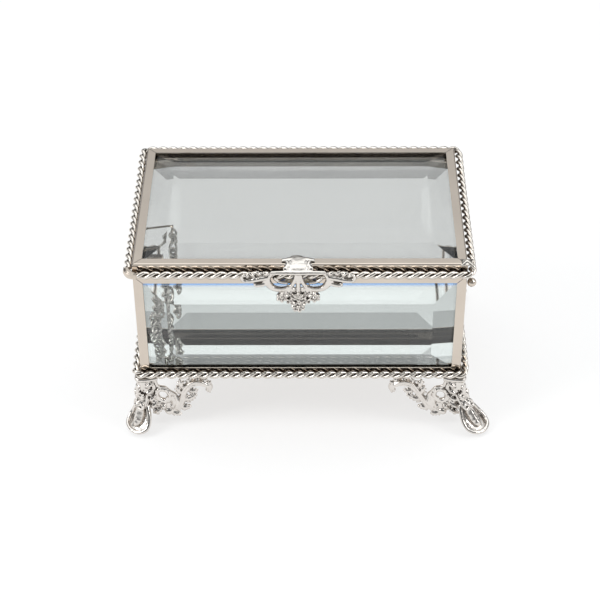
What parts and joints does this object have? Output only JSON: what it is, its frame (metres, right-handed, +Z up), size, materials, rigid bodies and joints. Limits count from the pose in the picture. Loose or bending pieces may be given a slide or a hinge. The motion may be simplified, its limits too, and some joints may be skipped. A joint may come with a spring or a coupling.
{
  "type": "hinged glass trinket box",
  "caption": "Bevelled-glass trinket box in a nickel-plated frame, with twisted rope trim, cast feet, a mirror floor and a hinged lid held open by a chain.",
  "frame": {"origin": "on the ground, under the middle of the box, between the feet", "axes": "+X runs to the right along the front, +Y to the back, +Z up"},
  "size_m": [0.1602, 0.1072, 0.091],
  "materials": {
    "nickel_plate": "polished nickel plate",
    "cast_nickel": "bright plated casting",
    "bevelled_glass": "polished clear glass, very faint green",
    "floor_mirror": "silvered glass"
  },
  "bodies": {
    "box": {"back_came_bottom": "nickel_plate", "back_came_left": "nickel_plate", "back_came_right": "nickel_plate", "back_came_top": "nickel_plate", "back_glass": "bevelled_glass", "base_mirror": "floor_mirror", "base_plate": "nickel_plate", "base_rope": "nickel_plate", "chain_body_eye": "nickel_plate", "corner_bead": "nickel_plate", "foot_back_left": "cast_nickel", "foot_back_right": "cast_nickel", "foot_front_left": "cast_nickel", "foot_front_right": "cast_nickel", "front_came_bottom": "nickel_plate", "front_came_left": "nickel_plate", "front_came_right": "nickel_plate", "front_came_top": "nickel_plate", "front_glass": "bevelled_glass", "hinge_left_knuckle_a": "nickel_plate", "hinge_left_knuckle_b": "nickel_plate", "hinge_left_pin": "nickel_plate", "hinge_right_knuckle_a": "nickel_plate", "hinge_right_knuckle_b": "nickel_plate", "hinge_right_pin": "nickel_plate", "left_came_back": "nickel_plate", "left_came_bottom": "nickel_plate", "left_came_front": "nickel_plate", "left_came_top": "nickel_plate", "left_glass": "bevelled_glass", "right_came_back": "nickel_plate", "right_came_bottom": "nickel_plate", "right_came_front": "nickel_plate", "right_came_top": "nickel_plate", "right_glass": "bevelled_glass"},
    "lid": {"chain_lid_eye": "nickel_plate", "hinge_left_lid_knuckle": "nickel_plate", "hinge_right_lid_knuckle": "nickel_plate", "lid_came_back": "nickel_plate", "lid_came_front": "nickel_plate", "lid_came_left": "nickel_plate", "lid_came_right": "nickel_plate", "lid_glass": "bevelled_glass", "lid_pull": "cast_nickel", "lid_rope": "nickel_plate", "lid_rope_ferrule": "nickel_plate"},
    "chain_body_run": {"chain_body_run": "nickel_plate"},
    "chain_link_1": {"chain_link_1": "nickel_plate"},
    "chain_link_2": {"chain_link_2": "nickel_plate"},
    "chain_link_3": {"chain_link_3": "nickel_plate"},
    "chain_link_4": {"chain_link_4": "nickel_plate"},
    "chain_link_5": {"chain_link_5": "nickel_plate"},
    "chain_lid_run": {"chain_lid_run": "nickel_plate"}
  },
  "joints": [
    {"name": "lid_hinge", "type": "hinge", "parent": "box", "child": "lid", "pos_m": [0, 0.0463, 0.0822], "axis": [-1, 0, 0], "range_deg": [0, 98]},
    {"name": "chain_body_swing", "type": "hinge", "parent": "box", "child": "chain_body_run", "pos_m": [-0.0595, -0.027, 0.0803], "axis": [1, 0, 0], "range_deg": [0, 127.05]},
    {"name": "chain_bend_1", "type": "hinge", "parent": "chain_body_run", "child": "chain_link_1", "pos_m": [-0.0595, -0.027, 0.039], "axis": [-1, 0, 0], "range_deg": [0, 27.01]},
    {"name": "chain_bend_2", "type": "hinge", "parent": "chain_link_1", "child": "chain_link_2", "pos_m": [-0.0595, -0.02538, 0.03582], "axis": [-1, 0, 0], "range_deg": [0, 33.01]},
    {"name": "chain_bend_3", "type": "hinge", "parent": "chain_link_2", "child": "chain_link_3", "pos_m": [-0.0595, -0.02229, 0.03403], "axis": [-1, 0, 0], "range_deg": [0, 30.01]},
    {"name": "chain_bend_4", "type": "hinge", "parent": "chain_link_3", "child": "chain_link_4", "pos_m": [-0.0595, -0.01871, 0.03403], "axis": [-1, 0, 0], "range_deg": [0, 30.01]},
    {"name": "chain_bend_5", "type": "hinge", "parent": "chain_link_4", "child": "chain_link_5", "pos_m": [-0.0595, -0.01562, 0.03582], "axis": [-1, 0, 0], "range_deg": [0, 33.01]},
    {"name": "chain_lid_swing", "type": "hinge", "parent": "lid", "child": "chain_lid_run", "pos_m": [-0.0558, -0.014, 0.0821], "axis": [1, 0, 0], "range_deg": [0, 45.05]}
  ],
  "couplings": [
    {"joint": "chain_body_swing", "follows": "lid_hinge", "ratio": 1.2963},
    {"joint": "chain_bend_1", "follows": "lid_hinge", "ratio": 0.27551},
    {"joint": "chain_bend_2", "follows": "lid_hinge", "ratio": 0.33673},
    {"joint": "chain_bend_3", "follows": "lid_hinge", "ratio": 0.30612},
    {"joint": "chain_bend_4", "follows": "lid_hinge", "ratio": 0.30612},
    {"joint": "chain_bend_5", "follows": "lid_hinge", "ratio": 0.33673},
    {"joint": "chain_lid_swing", "follows": "lid_hinge", "ratio": 0.45958}
  ]
}
